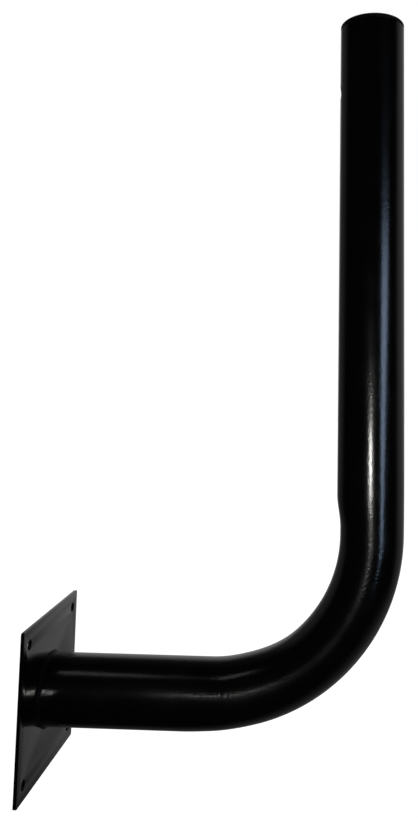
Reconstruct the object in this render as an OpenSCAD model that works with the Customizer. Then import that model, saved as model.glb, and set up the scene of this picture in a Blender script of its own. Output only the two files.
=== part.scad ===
// Wall bracket for a sensor: one bent steel tube, welded to a square wall plate, with a plastic end cap.
// The origin is the middle of the plate's back face, +X points away from the wall and +Z points up.

/* [Wall plate] */
// Width and height of the square plate
plate_side = 136; // [110:1:200]
// Thickness of the plate
plate_t = 3; // [2:0.5:8]
// Radius of the plate's corners
plate_corner_r = 1.5; // [0.5:0.5:8]
// Distance from the plate's edge to the middle of a fixing hole
hole_edge = 13; // [8:0.5:16]
// Diameter of the four fixing holes
hole_d = 8.5; // [5:0.5:12]
// Diameter of the cable opening behind the tube
cable_way_d = 40; // [16:1:50]

/* [Tube] */
// Outside diameter of the tube
tube_d = 60.3; // [57:0.1:63.5]
// Wall thickness of the tube
tube_wall = 2.9; // [2:0.1:4]

/* [Arm and upright] */
// Distance from the wall to the middle line of the upright
reach = 288; // [230:1:500]
// Height from the arm's middle line to the top of the end cap
rise = 616; // [350:1:900]

/* [Bend] */
// Radius of the bend, to the tube's middle line
bend_r = 141; // [120:1:160]
// How far the tube is pressed flat on the outside of the bend
outer_flat = 3; // [0:0.1:4]
// Length ahead of the bend over which the outside starts to flatten
outer_lead = 25; // [10:1:40]
// Length over which the outside reaches its full flattening
outer_ramp = 60; // [30:1:90]
// Length past the bend at which the outside is round again
outer_tail = 60; // [40:1:80]
// How far the tube is pressed in on the inside of the bend
inner_flat = 3; // [0:0.1:4]
// Length into the bend at which the inside starts to flatten
inner_delay = 30; // [0:1:50]
// Length over which the inside reaches its full flattening
inner_ramp = 70; // [40:1:90]
// Length past the bend at which the step left by the bending tool starts
step_past = 6; // [0:1:10]
// Length of the step left by the bending tool
step_len = 29; // [10:1:30]
// How far each side of the tube bulges out in the bend
side_bulge = 0.8; // [0:0.1:1.5]
// Number of sides round the bend
bend_sides = 40; // [24:4:48]
// Number of steps along the bend
bend_steps = 32; // [20:1:40]

/* [Cable exit] */
// Diameter of the cable exit in the upright
exit_d = 14; // [8:0.5:20]
// Distance from the top of the cap down to the middle of the cable exit
exit_drop = 65; // [45:1:90]

/* [Weld] */
// Height and width of the weld between tube and plate
weld_leg = 2; // [2:0.5:5]

/* [End cap] */
// Thickness of the cap's flange
cap_t = 4; // [3:0.5:6]
// Radius of the flange's rounded edge
cap_edge_r = 1; // [0.5:0.5:2.5]
// Wall thickness of the cap's plug
cap_wall = 2; // [1.5:0.1:3]
// Length of the cap's plug
plug_len = 20; // [16:1:24]
// Gap between the plug's ribs and the inside of the tube
plug_gap = 0.1; // [0.05:0.05:0.3]
// Height of the plug's ribs
rib_h = 1; // [0.5:0.1:1.5]
// Width of the plug's ribs
rib_w = 1.5; // [1:0.1:2]
// Number of ribs round the plug
rib_count = 3; // [2:1:4]

/* [Hidden] */
$fn = 96;
steel = [0.06, 0.06, 0.065];
plastic = [0.09, 0.09, 0.09];
cut = 1;
// How far the flat-sided skin of the bend stays inside the round skin of the straight lengths
seam = 0.03;
// How far the straight lengths reach over the ends of the bend
lap = 1;
tube_r = tube_d / 2;
bore_r = tube_r - tube_wall;
tube_top = rise - cap_t;
hole_place = plate_side / 2 - hole_edge;
arc_len = bend_r * PI / 2;
// Lengths along the middle line are counted from the start of the bend
bend_from = -outer_lead;
bend_to = arc_len + max(outer_tail, step_past + step_len);
arm_end = reach - bend_r + bend_from;
upright_start = bend_r + bend_to - arc_len;
rib_space = plug_len / (rib_count + 0.5);
plug_r = bore_r - plug_gap - rib_h;

// 0 before the ramp, 1 after it and a smooth S between them
function ramp(s, start, length) =
    let (u = min(max((s - start) / length, 0), 1)) u * u * (3 - 2 * u);

// How far the outside, the inside and the sides have moved at length s
function outer_in(s) =
    outer_flat * ramp(s, -outer_lead, outer_ramp)
    * (1 - ramp(s, outer_ramp - outer_lead, arc_len + outer_tail + outer_lead - outer_ramp));
function inner_in(s) =
    inner_flat * ramp(s, inner_delay, inner_ramp) * (1 - ramp(s, arc_len + step_past, step_len));
function side_out(s) =
    side_bulge * ramp(s, -outer_lead, outer_ramp) * (1 - ramp(s, arc_len - outer_ramp, outer_ramp + step_past));

// Turn of the middle line at length s, in degrees
function turn(s) = min(max(s / bend_r, 0), PI / 2) * 180 / PI;

// Point of the middle line at length s, as [x, z]
function middle(s) =
    [reach - bend_r + bend_r * sin(turn(s)) + min(s, 0),
     bend_r - bend_r * cos(turn(s)) + max(s - arc_len, 0)];

// Point of the tube's skin at length s and angle a, where 0 is the outside of the bend
function skin(s, a, r) =
    let (
        across = (r - (cos(a) > 0 ? outer_in(s) : inner_in(s))) * cos(a),
        aside = (r + side_out(s)) * sin(a),
        m = middle(s)
    )
    [m[0] + across * sin(turn(s)), aside, m[1] - across * cos(turn(s))];

// The bend is one closed ring of skin: rings of points outside, then the same rings inside
module bent_part() {
    n = bend_sides;
    m = bend_steps;
    steps = [for (i = [0:m]) bend_from + (bend_to - bend_from) * i / m];
    outer_r = tube_r - seam;
    inner_r = (bore_r + seam) / cos(180 / n);
    outside = [for (s = steps, k = [0:n - 1]) skin(s, 360 * k / n, outer_r)];
    inside = [for (s = steps, k = [0:n - 1]) skin(s, 360 * k / n, inner_r)];
    first = (m + 1) * n;
    outside_faces = [for (i = [0:m - 1], k = [0:n - 1], half = [0, 1])
        let (a = i * n + k, b = i * n + (k + 1) % n, c = a + n, d = b + n)
        half == 0 ? [a, d, b] : [a, c, d]];
    inside_faces = [for (i = [0:m - 1], k = [0:n - 1], half = [0, 1])
        let (a = first + i * n + k, b = first + i * n + (k + 1) % n, c = a + n, d = b + n)
        half == 0 ? [a, b, d] : [a, d, c]];
    start_faces = [for (k = [0:n - 1])
        let (a = k, b = (k + 1) % n)
        [a, b, first + b, first + a]];
    end_faces = [for (k = [0:n - 1])
        let (a = m * n + k, b = m * n + (k + 1) % n)
        [a, first + a, first + b, b]];
    polyhedron(
        points = concat(outside, inside),
        faces = concat(outside_faces, inside_faces, start_faces, end_faces),
        convexity = 6);
}

// A straight length of tube along +Z
module straight_part(length) {
    difference() {
        cylinder(r = tube_r, h = length);
        translate([0, 0, -cut]) cylinder(r = bore_r, h = length + 2 * cut);
    }
}

module bent_tube() {
    color(steel)
    difference() {
        union() {
            translate([plate_t, 0, 0]) rotate([0, 90, 0]) straight_part(arm_end + lap - plate_t);
            bent_part();
            translate([reach, 0, upright_start - lap]) straight_part(tube_top - upright_start + lap);
        }
        translate([reach, 0, rise - exit_drop])
            rotate([0, -90, 0])
            cylinder(d = exit_d, h = tube_d);
    }
}

// Square with rounded corners that stay true arcs
module rounded_square(side, r) {
    square([side, side - 2 * r], center = true);
    square([side - 2 * r, side], center = true);
    for (x = [-1, 1], y = [-1, 1])
        translate([x * (side / 2 - r), y * (side / 2 - r)]) circle(r);
}

module wall_plate() {
    color(steel)
    rotate([0, 90, 0])
    linear_extrude(plate_t)
    difference() {
        rounded_square(plate_side, plate_corner_r);
        circle(d = cable_way_d);
        for (x = [-1, 1], y = [-1, 1])
            translate([x * hole_place, y * hole_place]) circle(d = hole_d);
    }
}

// Fillet weld with a slightly domed face, all round the tube
module weld_bead() {
    color(steel)
    translate([plate_t, 0, 0])
    rotate([0, 90, 0])
    rotate_extrude()
    translate([tube_r, 0])
    intersection() {
        square(weld_leg);
        translate([-weld_leg, -weld_leg]) circle(norm([2 * weld_leg, weld_leg]));
    }
}

// Flange with a rounded edge on a hollow plug with ribs that grip the inside of the tube
module end_cap() {
    color(plastic)
    translate([reach, 0, tube_top])
    rotate_extrude() {
        square([tube_r - cap_edge_r, cap_t]);
        square([tube_r, cap_t - cap_edge_r]);
        intersection() {
            translate([tube_r - cap_edge_r, cap_t - cap_edge_r]) circle(cap_edge_r);
            square([tube_r, cap_t]);
        }
        translate([plug_r - cap_wall, -plug_len]) square([cap_wall, plug_len]);
        for (i = [1:rib_count])
            translate([plug_r - cap_wall, -i * rib_space]) square([cap_wall + rib_h, rib_w]);
    }
}

wall_plate();
bent_tube();
weld_bead();
end_cap();
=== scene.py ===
# Looks of a wall bracket: a bent steel tube on a square wall plate, coated black, with a plastic end cap.
# Metres, +Z up, +X away from the wall. The origin is the middle of the plate's back face.
import math

import bmesh
import bpy
from mathutils import Matrix, Vector


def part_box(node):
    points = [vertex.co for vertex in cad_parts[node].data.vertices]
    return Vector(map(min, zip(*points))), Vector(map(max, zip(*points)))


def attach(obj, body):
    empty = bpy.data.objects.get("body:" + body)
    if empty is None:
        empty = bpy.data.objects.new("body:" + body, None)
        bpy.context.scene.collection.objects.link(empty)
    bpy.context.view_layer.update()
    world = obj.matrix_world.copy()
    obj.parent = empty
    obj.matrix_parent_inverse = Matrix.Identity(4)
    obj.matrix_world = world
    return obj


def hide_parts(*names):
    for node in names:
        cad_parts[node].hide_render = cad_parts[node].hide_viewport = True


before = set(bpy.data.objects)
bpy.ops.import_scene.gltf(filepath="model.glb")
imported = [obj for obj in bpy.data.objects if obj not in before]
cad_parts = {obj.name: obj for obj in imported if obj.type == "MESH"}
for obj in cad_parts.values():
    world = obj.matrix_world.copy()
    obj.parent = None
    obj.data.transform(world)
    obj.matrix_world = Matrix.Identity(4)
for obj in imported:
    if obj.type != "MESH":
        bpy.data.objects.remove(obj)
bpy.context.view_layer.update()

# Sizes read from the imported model
PLATE_LOW, PLATE_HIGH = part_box("wall_plate")
CAP_LOW, CAP_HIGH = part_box("end_cap")
PLATE_T = PLATE_HIGH.x - PLATE_LOW.x
PLATE_SIDE = PLATE_HIGH.y - PLATE_LOW.y
TUBE_R = (CAP_HIGH.x - CAP_LOW.x) / 2
REACH = (CAP_HIGH.x + CAP_LOW.x) / 2
TUBE_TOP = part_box("bent_tube")[1].z
RISE = CAP_HIGH.z

# Wall plate
PLATE_CORNER_R = 0.0015
PLATE_EDGE = 0.00025
HOLE_EDGE = 0.013
HOLE_D = 0.0085
CABLE_WAY_D = 0.040
CORNER_STEPS = 8
BEVEL_STEPS = 3
HOLE_SIDES = 64
CABLE_WAY_SIDES = 128

# Tube and bend, with the same values as the solid
TUBE_WALL = 0.0029
BORE_R = TUBE_R - TUBE_WALL
BEND_R = 0.141
OUTER_FLAT = 0.003
OUTER_LEAD = 0.025
OUTER_RAMP = 0.060
OUTER_TAIL = 0.060
INNER_FLAT = 0.003
INNER_DELAY = 0.030
INNER_RAMP = 0.070
STEP_PAST = 0.006
STEP_LEN = 0.029
SIDE_BULGE = 0.0008
ARC_LEN = BEND_R * math.pi / 2
BEND_FROM = -OUTER_LEAD
BEND_TO = ARC_LEN + max(OUTER_TAIL, STEP_PAST + STEP_LEN)
TUBE_SIDES = 128
ARM_STEPS = 12
BEND_STEPS = 170
UPRIGHT_STEPS = 24
TOP_STEPS = 4

# Cable exit
EXIT_R = 0.007
EXIT_Z = RISE - 0.065
EXIT_EDGE = 0.00015
EXIT_EDGE_ANGLES = (22.5, 45, 67.5, 90)
PATCH_CELLS = 7
PATCH_SHARES = (0.3, 0.6, 0.85, 1.0)

# Weld. The arc of its face is from and to in degrees, and steps. The waves are turns and start
WELD_LEG = 0.002
WELD_SUNK = 0.0002
WELD_ARC = (24, 66, 12)
WELD_RIPPLES = 84
WELD_RIPPLE = 0.00004
WELD_RIPPLE_MEAN = 0.6
WELD_WAVES = ((5, 1), (11, 0))
WELD_WAVE = 0.00002
STEPS_PER_RIPPLE = 6

# End cap
CAP_T = RISE - TUBE_TOP
CAP_EDGE_R = 0.001
CAP_SEAM_R = 0.0003
CAP_WALL = 0.002
PLUG_LEN = 0.020
PLUG_GAP = 0.0001
RIB_H = 0.001
RIB_W = 0.0015
RIB_COUNT = 3
AXIS_R = 0.0001
CAP_EDGE_STEPS = 10
CAP_SEAM_STEPS = 4

# Points nearer than this are joined, and edges sharper than this in degrees stay sharp
SAME_POINT = 0.00001
SHARP_EDGE = 40
WELD_SHARP_EDGE = 60

# Coat, weld and plastic: roughness from and to, share of shine, depth of the bumps in metres
COAT_ROUGH = (0.15, 0.20)
PLATE_ROUGH = (0.09, 0.12)
WELD_ROUGH = (0.40, 0.50)
COAT_SHINE = 0.5
WELD_SHINE = 0.06
COAT_SHADES = ((0.0005, 0.0005, 0.00055), (0.0012, 0.0012, 0.0013))
SWELL_DEPTH = 0.00003
PEEL_DEPTH = 0.00010
PLASTIC_ROUGH = (0.55, 0.65)
PLASTIC_SHINE = 0.12
PLASTIC_SHADES = ((0.0008, 0.0008, 0.0008), (0.0020, 0.0020, 0.0020))
PLASTIC_GRAIN = 0.00003
FLOOR_SHADES = ((0.84, 0.84, 0.84), (0.88, 0.88, 0.88))
FLOOR_GLOW = 0.4

# Noises: lumps per metre, detail, roughness, and the part of their range that is used
CLOUD = (25, 3, 0.5)
PEEL = (560, 1, 0.4)
SWELL = (220, 1, 0.4)
PLASTIC_CLOUD = (60, 2, 0.5)
GRAIN = (1500, 2, 0.5)
SPECK = (40, 2, 0.5)
NOISE_MIDDLE = (0.35, 0.65)

# Camera, as found from the photograph's outline. Its frame is 418 x 818 pixels
PHOTO_W = 418
PHOTO_H = 818
FOCAL_PX = 761.26
CENTRE_PX = (288.201, 309.203)
CAMERA_PLACE = (0.240759, -0.70255, 0.270121)
CAMERA_YAW = 0.04223
CAMERA_PITCH = 0.10326
CAMERA_ROLL = -0.01493

# Cool softbox reflected in the coat: azimuth from -Y to +X, elevation and lean in degrees, then its half
# width, how it widens upward, where each end starts and is full, and how soft its edges are
STRIP_TURN = (41.0, 3.0, 28.0)
STRIP_HALF = 0.135
STRIP_TAPER = 0.35
STRIP_TOP = (0.178, 0.09)
STRIP_BOTTOM = (-0.35, -0.19)
STRIP_STRENGTH = 5.8
STRIP_COLOUR = (0.54, 0.71, 1.0)
STRIP_EDGE = (1.2, 0.8)
STRIP_SIDE = (0.5, 0.6)

# Dark room reflected in the coat, as soft patches: direction, strength, cosines where it starts and is full
RIGHT_WALL = ((0.50, 0.86, 0.05), 0.25, 0.41, 0.80)
LEFT_WALL = ((-0.26, 0.95, 0.25), 0.10, 0.42, 0.77)
UPPER_ROOM = ((0, 0, 1), 0.65, -0.55, 0.10)
LOWER_ROOM = 0.35
BEHIND_UPRIGHT = ((0.33, 0.94, 0.0), 0.10, 0.90, 0.97)
BEHIND_ARM = ((-0.13, 0.94, 0.31), 0.20, 0.906, 0.978)
LOW_WALL = ((0.545, 0.785, -0.29), 0.08, 0.20, 0.75)
FROM_BELOW = ((0, 0, -1), 1.0, 0.40, 0.70)
FROM_CEILING = ((0, 0, 1), -0.7, 0.45, 0.75)
DAYLIGHT = 0.8

# Lamps: name, place, aim, width, height, radiance, colour, spread in degrees
LAMPS = (
    ("key_lamp", (0.230, -0.76, 0.135), (0.288, 0, 0.2), 0.095, 0.08, 65, (1.0, 0.985, 0.96), 180),
    ("ceiling_strip", (-0.55, -0.72, 2.0), (0.1, 0, 0.0), 0.50, 0.20, 1.2, (1.0, 1.0, 1.0), 180),
    ("arm_lamp", (0.080, -0.69, 0.165), (0.13, 0, -0.10), 0.040, 0.045, 1.5, (1.0, 0.98, 0.93), 50),
)

FLOOR_Z = -0.62
FLOOR_SIZE = 40.0


# Shape of the bent tube

def ramp(s, start, length):
    """0 before the ramp, 1 after it and a smooth S between them."""
    u = min(max((s - start) / length, 0), 1)
    return u * u * (3 - 2 * u)


def outer_in(s):
    """How far the outside of the bend is pressed in at length s."""
    fade_from = OUTER_RAMP - OUTER_LEAD
    fade = ramp(s, fade_from, ARC_LEN + OUTER_TAIL - fade_from)
    return OUTER_FLAT * ramp(s, -OUTER_LEAD, OUTER_RAMP) * (1 - fade)


def inner_in(s):
    """How far the inside of the bend is pressed in at length s."""
    return INNER_FLAT * ramp(s, INNER_DELAY, INNER_RAMP) * (1 - ramp(s, ARC_LEN + STEP_PAST, STEP_LEN))


def side_out(s):
    """How far the sides bulge out at length s."""
    fade = ramp(s, ARC_LEN - OUTER_RAMP, OUTER_RAMP + STEP_PAST)
    return SIDE_BULGE * ramp(s, -OUTER_LEAD, OUTER_RAMP) * (1 - fade)


def skin(s, a, r):
    """Point of the skin at length s and angle a, where 0 is the outside of the bend."""
    turn = min(max(s / BEND_R, 0), math.pi / 2)
    middle_x = REACH - BEND_R + BEND_R * math.sin(turn) + min(s, 0)
    middle_z = BEND_R - BEND_R * math.cos(turn) + max(s - ARC_LEN, 0)
    pressed = outer_in(s) if math.cos(a) > 0 else inner_in(s)
    across = (r - pressed) * math.cos(a)
    aside = (r + side_out(s)) * math.sin(a)
    return Vector((middle_x + across * math.sin(turn), aside, middle_z - across * math.cos(turn)))


def along(start, end, count):
    """Count steps from start to end, without the end itself."""
    return [start + (end - start) * i / count for i in range(count)]


def length_at_height(z):
    """Length along the middle line at height z of the upright."""
    return z - BEND_R + ARC_LEN


def tube_stations():
    """Lengths of the rings along the tube, and the first ring of the patch round the cable exit."""
    patch_half = TUBE_R * 2 * math.pi * PATCH_CELLS / TUBE_SIDES
    arm = along(PLATE_T - (REACH - BEND_R), BEND_FROM, ARM_STEPS)
    bend = along(BEND_FROM, BEND_TO, BEND_STEPS)
    patch_from = length_at_height(EXIT_Z - patch_half)
    patch_to = length_at_height(EXIT_Z + patch_half)
    upright = along(BEND_TO, patch_from, UPRIGHT_STEPS)
    patch = along(patch_from, patch_to, 2 * PATCH_CELLS)
    end = length_at_height(TUBE_TOP)
    stations = arm + bend + upright + patch + along(patch_to, end, TOP_STEPS) + [end]
    return stations, len(arm) + len(bend) + len(upright)


def patch_outline(first_row):
    """Rings and sides of the grid's corners round the patch, in order."""
    rows = [first_row + i for i in range(2 * PATCH_CELLS + 1)]
    cols = [TUBE_SIDES // 2 - PATCH_CELLS + i for i in range(2 * PATCH_CELLS + 1)]
    low = [(rows[0], c) for c in cols[:-1]]
    right = [(r, cols[-1]) for r in rows[:-1]]
    high = [(rows[-1], c) for c in reversed(cols[1:])]
    left = [(r, cols[0]) for r in reversed(rows[1:])]
    return low + right + high + left


def exit_point(direction, hole_r, skin_r, depth):
    """Point on a circle round the cable exit, depth below the round skin of radius skin_r."""
    y = hole_r * math.cos(direction)
    z = hole_r * math.sin(direction)
    return Vector((REACH - math.sqrt(skin_r ** 2 - y ** 2) + depth, y, EXIT_Z + z))


def join_rings(bm, first, second):
    """Quads between two closed rings of vertices."""
    count = len(first)
    for i in range(count):
        j = (i + 1) % count
        bm.faces.new((first[i], first[j], second[j], second[i]))


def grow_patch(bm, outline, directions, hole_r, skin_r):
    """Rings on the round skin between the grid's outline and the circle of radius hole_r."""
    ring = outline
    for share in PATCH_SHARES:
        following = []
        for vert, direction in zip(outline, directions):
            target = exit_point(direction, hole_r, skin_r, 0)
            y = vert.co.y + (target.y - vert.co.y) * share
            z = vert.co.z + (target.z - vert.co.z) * share
            x = REACH - math.sqrt(skin_r ** 2 - y ** 2)
            following.append(bm.verts.new((x, y, z)))
        join_rings(bm, ring, following)
        ring = following
    return ring


def exit_wall(bm, outer_outline, inner_outline):
    """Patches round the cable exit in both skins, its rounded edge and its cut wall."""
    directions = [math.atan2(v.co.z - EXIT_Z, v.co.y) for v in outer_outline]
    ring = grow_patch(bm, outer_outline, directions, EXIT_R + EXIT_EDGE, TUBE_R)
    for degrees in EXIT_EDGE_ANGLES:
        phi = math.radians(degrees)
        hole_r = EXIT_R + EXIT_EDGE * (1 - math.sin(phi))
        depth = EXIT_EDGE * (1 - math.cos(phi))
        following = [bm.verts.new(exit_point(d, hole_r, TUBE_R, depth)) for d in directions]
        join_rings(bm, ring, following)
        ring = following
    inner_ring = grow_patch(bm, inner_outline, directions, EXIT_R, BORE_R)
    join_rings(bm, ring, inner_ring)


def patch_spots(first_row, inset):
    """Rings and sides of the grid inside the patch, from inset rows and columns in."""
    return set(
        (r, c)
        for r in range(first_row + inset, first_row + 2 * PATCH_CELLS)
        for c in range(TUBE_SIDES // 2 - PATCH_CELLS + inset, TUBE_SIDES // 2 + PATCH_CELLS)
    )


def skin_grid(bm, stations, first_row, r):
    """Vertices and faces of one skin, with an opening where the patch goes."""
    open_corners = patch_spots(first_row, 1)
    open_cells = patch_spots(first_row, 0)
    grid = {}
    for i, s in enumerate(stations):
        for k in range(TUBE_SIDES):
            if (i, k) not in open_corners:
                grid[i, k] = bm.verts.new(skin(s, 2 * math.pi * k / TUBE_SIDES, r))
    for i in range(len(stations) - 1):
        for k in range(TUBE_SIDES):
            if (i, k) not in open_cells:
                j = (k + 1) % TUBE_SIDES
                bm.faces.new((grid[i, k], grid[i, j], grid[i + 1, j], grid[i + 1, k]))
    return grid


def tube_mesh():
    """Smooth tube with its bend, its open bore and the cable exit."""
    bm = bmesh.new()
    stations, first_row = tube_stations()
    grids = [skin_grid(bm, stations, first_row, r) for r in (TUBE_R, BORE_R)]
    for i in (0, len(stations) - 1):
        outer, inner = ([grid[i, k] for k in range(TUBE_SIDES)] for grid in grids)
        join_rings(bm, outer, inner)
    outline = patch_outline(first_row)
    exit_wall(bm, *([grid[spot] for spot in outline] for grid in grids))
    return bm


# Shapes of the other pieces

def revolve(profile_at, sides, place):
    """Closed ring of profiles: profile_at(angle) gives (radius, height), place(r, h, angle) a point."""
    bm = bmesh.new()
    rings = []
    for k in range(sides):
        angle = 2 * math.pi * k / sides
        rings.append([bm.verts.new(place(r, h, angle)) for r, h in profile_at(angle)])
    count = len(rings[0])
    for k in range(sides):
        here, following = rings[k], rings[(k + 1) % sides]
        for i in range(count):
            j = (i + 1) % count
            bm.faces.new((here[i], here[j], following[j], following[i]))
    return bm


def arc_points(centre, r, start, end, steps):
    """Points (radius, height) of an arc, with its ends, angles in degrees."""
    points = []
    for i in range(steps + 1):
        phi = math.radians(start + (end - start) * i / steps)
        points.append((centre[0] + r * math.cos(phi), centre[1] + r * math.sin(phi)))
    return points


def weld_profile(angle):
    """Domed fillet whose face ripples round the tube."""
    wave = (angle * WELD_RIPPLES / (2 * math.pi)) % 1
    ripple = WELD_RIPPLE * (math.sqrt(wave) - WELD_RIPPLE_MEAN)
    uneven = WELD_WAVE * sum(math.sin(turns * angle + start) for turns, start in WELD_WAVES)
    face_r = math.sqrt(5) * WELD_LEG + ripple + uneven
    face = arc_points((TUBE_R - WELD_LEG, -WELD_LEG), face_r, *WELD_ARC)
    root_r = TUBE_R - WELD_SUNK
    return face + [(root_r, WELD_LEG), (root_r, -WELD_SUNK), (TUBE_R + WELD_LEG, -WELD_SUNK)]


def weld_mesh():
    """Weld between tube and plate."""
    def place(r, h, angle):
        return Vector((PLATE_T + h, r * math.cos(angle), r * math.sin(angle)))
    return revolve(weld_profile, WELD_RIPPLES * STEPS_PER_RIPPLE, place)


def cap_profile():
    """Half section of the cap: flange with rounded edges, and a hollow plug with ribs."""
    plug_r = BORE_R - PLUG_GAP - RIB_H
    rib_space = PLUG_LEN / (RIB_COUNT + 0.5)
    points = [(AXIS_R, CAP_T)]
    points += arc_points((TUBE_R - CAP_EDGE_R, CAP_T - CAP_EDGE_R), CAP_EDGE_R, 90, 0, CAP_EDGE_STEPS)
    points += arc_points((TUBE_R - CAP_SEAM_R, CAP_SEAM_R), CAP_SEAM_R, 0, -90, CAP_SEAM_STEPS)
    points += [(plug_r, 0)]
    for i in range(1, RIB_COUNT + 1):
        rib = -i * rib_space
        points += [(plug_r, rib + RIB_W), (plug_r + RIB_H, rib + RIB_W), (plug_r + RIB_H, rib), (plug_r, rib)]
    points += [(plug_r, -PLUG_LEN), (plug_r - CAP_WALL, -PLUG_LEN), (plug_r - CAP_WALL, 0), (AXIS_R, 0)]
    return points


def cap_mesh():
    """End cap, on the top of the tube."""
    points = cap_profile()

    def place(r, h, angle):
        return Vector((REACH + r * math.cos(angle), r * math.sin(angle), TUBE_TOP + h))
    bm = revolve(lambda angle: points, TUBE_SIDES, place)
    bmesh.ops.remove_doubles(bm, verts=bm.verts, dist=SAME_POINT)
    return bm


def circle_points(centre, r, count):
    """Points of a circle in the plate's plane."""
    return [
        (centre[0] + r * math.cos(2 * math.pi * i / count), centre[1] + r * math.sin(2 * math.pi * i / count))
        for i in range(count)
    ]


def plate_outlines():
    """The plate's outline with rounded corners, then the outlines of its openings."""
    half = PLATE_SIDE / 2 - PLATE_CORNER_R
    outer = []
    for i, (y, z) in enumerate(((1, 1), (-1, 1), (-1, -1), (1, -1))):
        outer += arc_points((y * half, z * half), PLATE_CORNER_R, 90 * i, 90 * i + 90, CORNER_STEPS)
    cable_way = circle_points((0, 0), CABLE_WAY_D / 2, CABLE_WAY_SIDES)
    place = PLATE_SIDE / 2 - HOLE_EDGE
    holes = [circle_points((y * place, z * place), HOLE_D / 2, HOLE_SIDES) for y in (-1, 1) for z in (-1, 1)]
    return [outer, cable_way] + holes


def plate_mesh():
    """Plate with softly rounded edges, made as a filled curve."""
    curve = bpy.data.curves.new("plate_outline", "CURVE")
    curve.dimensions = "2D"
    curve.fill_mode = "BOTH"
    curve.extrude = PLATE_T / 2 - PLATE_EDGE
    curve.bevel_depth = PLATE_EDGE
    curve.bevel_resolution = BEVEL_STEPS
    curve.offset = -PLATE_EDGE
    for outline in plate_outlines():
        spline = curve.splines.new("POLY")
        spline.points.add(len(outline) - 1)
        spline.use_cyclic_u = True
        for point, (y, z) in zip(spline.points, outline):
            point.co = (y, z, 0, 1)
    holder = bpy.data.objects.new("plate_outline", curve)
    mesh = bpy.data.meshes.new_from_object(holder)
    bm = bmesh.new()
    bm.from_mesh(mesh)
    bpy.data.objects.remove(holder)
    bpy.data.meshes.remove(mesh)
    bpy.data.curves.remove(curve)
    upright = Matrix(((0, 0, 1, PLATE_T / 2), (1, 0, 0, 0), (0, 1, 0, 0), (0, 0, 0, 1)))
    bmesh.ops.transform(bm, matrix=upright, verts=bm.verts)
    bmesh.ops.remove_doubles(bm, verts=bm.verts, dist=SAME_POINT)
    return bm


def add_piece(name, bm, node, material, sharp_degrees):
    """Turns bm into a piece that stands for a CAD node."""
    bmesh.ops.recalc_face_normals(bm, faces=bm.faces)
    mesh = bpy.data.meshes.new(name)
    bm.to_mesh(mesh)
    bm.free()
    mesh.shade_smooth()
    mesh.set_sharp_from_angle(angle=math.radians(sharp_degrees))
    mesh.materials.append(material)
    piece = bpy.data.objects.new(name, mesh)
    bpy.context.scene.collection.objects.link(piece)
    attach(piece, "root")
    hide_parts(node)
    return piece


# Materials

def new_material(name):
    """A new material, its node tree and its shader."""
    material = bpy.data.materials.new(name)
    material.use_nodes = True
    tree = material.node_tree
    return material, tree, tree.nodes["Principled BSDF"]


def add_noise(tree, kind):
    """Noise in the object's own coordinates. kind is its scale, detail and roughness."""
    place = tree.nodes.new("ShaderNodeTexCoord")
    noise = tree.nodes.new("ShaderNodeTexNoise")
    for name, value in zip(("Scale", "Detail", "Roughness"), kind):
        noise.inputs[name].default_value = value
    tree.links.new(place.outputs["Object"], noise.inputs["Vector"])
    return noise.outputs["Fac"]


def add_range(tree, source, low, high):
    """Maps the middle of a noise's range to low and high."""
    mapped = tree.nodes.new("ShaderNodeMapRange")
    for name, value in zip(("From Min", "From Max", "To Min", "To Max"), (*NOISE_MIDDLE, low, high)):
        mapped.inputs[name].default_value = value
    tree.links.new(source, mapped.inputs["Value"])
    return mapped.outputs["Result"]


def add_bump(tree, source, distance, before=None):
    """Bump of the given height in metres, on top of another one."""
    bump = tree.nodes.new("ShaderNodeBump")
    bump.inputs["Distance"].default_value = distance
    bump.inputs["Strength"].default_value = 1.0
    tree.links.new(source, bump.inputs["Height"])
    if before is not None:
        tree.links.new(before, bump.inputs["Normal"])
    return bump.outputs["Normal"]


def add_colour(tree, source, dark, light):
    """Colour between two shades, led by a noise."""
    mix = tree.nodes.new("ShaderNodeMix")
    mix.data_type = "RGBA"
    mix.inputs["A"].default_value = (*dark, 1)
    mix.inputs["B"].default_value = (*light, 1)
    tree.links.new(source, mix.inputs["Factor"])
    return mix.outputs["Result"]


def coat_material(name, rough, shine):
    """Black powder coat with a fine orange peel."""
    material, tree, shader = new_material(name)
    cloud = add_noise(tree, CLOUD)
    tree.links.new(add_colour(tree, cloud, *COAT_SHADES), shader.inputs["Base Color"])
    tree.links.new(add_range(tree, cloud, *rough), shader.inputs["Roughness"])
    shader.inputs["Specular IOR Level"].default_value = shine
    normal = add_bump(tree, add_noise(tree, SWELL), SWELL_DEPTH)
    normal = add_bump(tree, add_noise(tree, PEEL), PEEL_DEPTH, normal)
    tree.links.new(normal, shader.inputs["Normal"])
    return material


def plastic_material():
    """Dull black plastic with a fine grain."""
    material, tree, shader = new_material("black_plastic")
    cloud = add_noise(tree, PLASTIC_CLOUD)
    tree.links.new(add_colour(tree, cloud, *PLASTIC_SHADES), shader.inputs["Base Color"])
    tree.links.new(add_range(tree, cloud, *PLASTIC_ROUGH), shader.inputs["Roughness"])
    shader.inputs["Specular IOR Level"].default_value = PLASTIC_SHINE
    tree.links.new(add_bump(tree, add_noise(tree, GRAIN), PLASTIC_GRAIN), shader.inputs["Normal"])
    return material


# Studio

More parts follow.
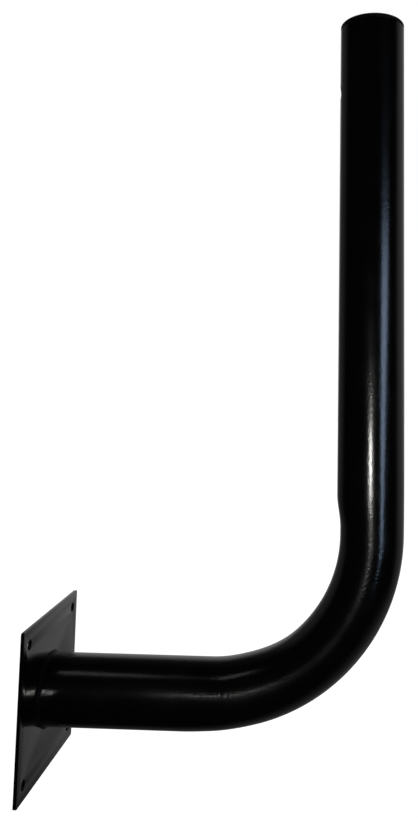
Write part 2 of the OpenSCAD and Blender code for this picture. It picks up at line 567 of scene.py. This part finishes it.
def add_camera():
    """Camera at the photograph's place and angle."""
    data = bpy.data.cameras.new("camera")
    camera = bpy.data.objects.new("camera", data)
    bpy.context.scene.collection.objects.link(camera)
    data.lens = FOCAL_PX * data.sensor_width / PHOTO_H
    data.shift_x = (PHOTO_W / 2 - CENTRE_PX[0]) / PHOTO_H
    data.shift_y = (CENTRE_PX[1] - PHOTO_H / 2) / PHOTO_H
    data.clip_start = 0.01
    camera.matrix_world = (
        Matrix.Translation(CAMERA_PLACE)
        @ Matrix.Rotation(CAMERA_YAW, 4, "Z")
        @ Matrix.Rotation(CAMERA_PITCH, 4, "X")
        @ Matrix.Rotation(CAMERA_ROLL, 4, "Y")
        @ Matrix.Rotation(math.pi / 2, 4, "X")
    )
    bpy.context.scene.camera = camera


def add_lamp(name, place, aim, width, height, radiance, colour, spread):
    """Rectangular soft lamp that the camera doesn't see, with its spread in degrees."""
    data = bpy.data.lights.new(name, "AREA")
    data.shape = "RECTANGLE"
    data.size = width
    data.size_y = height
    data.energy = radiance * math.pi * width * height
    data.color = colour
    data.spread = math.radians(spread)
    lamp = bpy.data.objects.new(name, data)
    bpy.context.scene.collection.objects.link(lamp)
    lamp.location = place
    lamp.rotation_mode = "QUATERNION"
    lamp.rotation_quaternion = (Vector(aim) - Vector(place)).to_track_quat("-Z", "Y")
    lamp.visible_camera = False


def add_math(tree, operation, a, b):
    """Math node on two values or outputs."""
    node = tree.nodes.new("ShaderNodeMath")
    node.operation = operation
    for socket, value in zip(node.inputs, (a, b)):
        if isinstance(value, (int, float)):
            socket.default_value = value
        else:
            tree.links.new(value, socket)
    return node.outputs[0]


def add_lobe(tree, direction, toward, strength, from_cos, to_cos):
    """Soft patch of light in the world, round a direction."""
    fade = add_fade(tree, add_dot(tree, direction, toward), from_cos, to_cos)
    return add_math(tree, "MULTIPLY", fade, strength)


def add_dot(tree, direction, toward):
    """Cosine between the direction looked in and a fixed one."""
    dot = tree.nodes.new("ShaderNodeVectorMath")
    dot.operation = "DOT_PRODUCT"
    tree.links.new(direction, dot.inputs[0])
    dot.inputs[1].default_value = Vector(toward).normalized()
    return dot.outputs["Value"]


def add_fade(tree, value, start, end):
    """0 at start and 1 at end, with a smooth S between them."""
    mapped = tree.nodes.new("ShaderNodeMapRange")
    mapped.interpolation_type = "SMOOTHSTEP"
    mapped.inputs["From Min"].default_value = min(start, end)
    mapped.inputs["From Max"].default_value = max(start, end)
    mapped.inputs["To Min"].default_value = 0.0 if start < end else 1.0
    mapped.inputs["To Max"].default_value = 1.0 if start < end else 0.0
    tree.links.new(value, mapped.inputs["Value"])
    return mapped.outputs["Result"]


def add_strip(tree, direction):
    """Leaning softbox in the world, wider above and fading at both ends."""
    azimuth, elevation, lean = (math.radians(a) for a in STRIP_TURN)
    level = math.cos(elevation)
    centre = Vector((math.sin(azimuth) * level, -math.cos(azimuth) * level, math.sin(elevation)))
    side = Vector((math.cos(azimuth), math.sin(azimuth), 0))
    upward = side.cross(centre) * -1
    across_axis = side * math.cos(lean) - upward * math.sin(lean)
    across = add_math(tree, "ABSOLUTE", add_dot(tree, direction, across_axis), 0)
    along_it = add_dot(tree, direction, upward)
    half_width = add_math(tree, "ADD", add_math(tree, "MULTIPLY", along_it, STRIP_TAPER), STRIP_HALF)
    mask = add_fade(tree, add_math(tree, "DIVIDE", across, half_width), *STRIP_EDGE)
    for start, end in (STRIP_TOP, STRIP_BOTTOM):
        mask = add_math(tree, "MULTIPLY", mask, add_fade(tree, along_it, start, end))
    return add_math(tree, "MULTIPLY", mask, add_fade(tree, add_dot(tree, direction, centre), *STRIP_SIDE))


def add_room(tree, direction):
    """Strength of the dark room with a lit far side, as the coat reflects it."""
    right = add_lobe(tree, direction, *RIGHT_WALL)
    left = add_lobe(tree, direction, *LEFT_WALL)
    upper = add_math(tree, "ADD", add_lobe(tree, direction, *UPPER_ROOM), LOWER_ROOM)
    room = add_math(tree, "MULTIPLY", add_math(tree, "ADD", right, left), upper)
    room = add_math(tree, "ADD", room, add_lobe(tree, direction, *BEHIND_UPRIGHT))
    ceiling = add_math(tree, "ADD", add_lobe(tree, direction, *FROM_CEILING), 1)
    room = add_math(tree, "MULTIPLY", room, ceiling)
    room = add_math(tree, "ADD", room, add_lobe(tree, direction, *BEHIND_ARM))
    low = add_lobe(tree, direction, *LOW_WALL)
    low = add_math(tree, "MULTIPLY", low, add_lobe(tree, direction, *FROM_BELOW))
    return add_math(tree, "ADD", room, low)


def add_background(tree, colour, strength):
    """Background of one colour whose strength changes with the direction."""
    background = tree.nodes.new("ShaderNodeBackground")
    background.inputs["Color"].default_value = (*colour, 1)
    tree.links.new(strength, background.inputs["Strength"])
    return background.outputs["Background"]


def add_world():
    """White behind the object, plain soft light on it, and the dark room and the softbox in its gloss."""
    world = bpy.data.worlds.new("studio")
    bpy.context.scene.world = world
    world.use_nodes = True
    world.cycles.sampling_method = "NONE"
    tree = world.node_tree
    tree.nodes.clear()
    direction = tree.nodes.new("ShaderNodeTexCoord").outputs["Generated"]
    ray = tree.nodes.new("ShaderNodeLightPath").outputs
    shiny = add_math(tree, "MAXIMUM", ray["Is Glossy Ray"], ray["Is Transmission Ray"])
    room = add_math(tree, "MULTIPLY", add_room(tree, direction), shiny)
    daylight = add_math(tree, "MULTIPLY", add_math(tree, "SUBTRACT", 1, shiny), DAYLIGHT)
    plain = add_math(tree, "MAXIMUM", add_math(tree, "ADD", room, daylight), ray["Is Camera Ray"])
    strip = add_math(tree, "MULTIPLY", add_strip(tree, direction), STRIP_STRENGTH)
    strip = add_math(tree, "MULTIPLY", strip, ray["Is Glossy Ray"])
    both = tree.nodes.new("ShaderNodeAddShader")
    tree.links.new(add_background(tree, (1, 1, 1), plain), both.inputs[0])
    tree.links.new(add_background(tree, STRIP_COLOUR, strip), both.inputs[1])
    output = tree.nodes.new("ShaderNodeOutputWorld")
    tree.links.new(both.outputs["Shader"], output.inputs["Surface"])


def floor_material():
    """Pale floor that looks white in the picture and keeps the object's shadow."""
    material, tree, shader = new_material("pale_floor")
    colour = add_colour(tree, add_noise(tree, SPECK), *FLOOR_SHADES)
    tree.links.new(colour, shader.inputs["Base Color"])
    shader.inputs["Roughness"].default_value = 0.9
    shader.inputs["Specular IOR Level"].default_value = 0.0
    light_path = tree.nodes.new("ShaderNodeLightPath")
    shader.inputs["Emission Color"].default_value = (1, 1, 1, 1)
    glow = add_math(tree, "MULTIPLY", light_path.outputs["Is Camera Ray"], FLOOR_GLOW)
    tree.links.new(glow, shader.inputs["Emission Strength"])
    return material


def add_floor():
    """Floor well below the object, left out of the coat's reflections."""
    bm = bmesh.new()
    bmesh.ops.create_grid(bm, x_segments=2, y_segments=2, size=FLOOR_SIZE / 2)
    mesh = bpy.data.meshes.new("floor")
    bm.to_mesh(mesh)
    bm.free()
    mesh.materials.append(floor_material())
    floor = bpy.data.objects.new("floor", mesh)
    bpy.context.scene.collection.objects.link(floor)
    floor.location.z = FLOOR_Z
    floor.visible_glossy = False


def build():
    """Pieces, then the studio round them."""
    coat = coat_material("black_coat", COAT_ROUGH, COAT_SHINE)
    plate_coat = coat_material("plate_coat", PLATE_ROUGH, COAT_SHINE)
    bead_coat = coat_material("bead_coat", WELD_ROUGH, WELD_SHINE)
    plastic = plastic_material()
    add_piece("wall_plate_coated", plate_mesh(), "wall_plate", plate_coat, SHARP_EDGE)
    add_piece("bent_tube_coated", tube_mesh(), "bent_tube", coat, SHARP_EDGE)
    add_piece("weld_bead_coated", weld_mesh(), "weld_bead", bead_coat, WELD_SHARP_EDGE)
    add_piece("end_cap_moulded", cap_mesh(), "end_cap", plastic, SHARP_EDGE)
    add_camera()
    for lamp in LAMPS:
        add_lamp(*lamp)
    add_world()
    add_floor()
    bpy.context.scene.view_settings.view_transform = "Standard"


build()
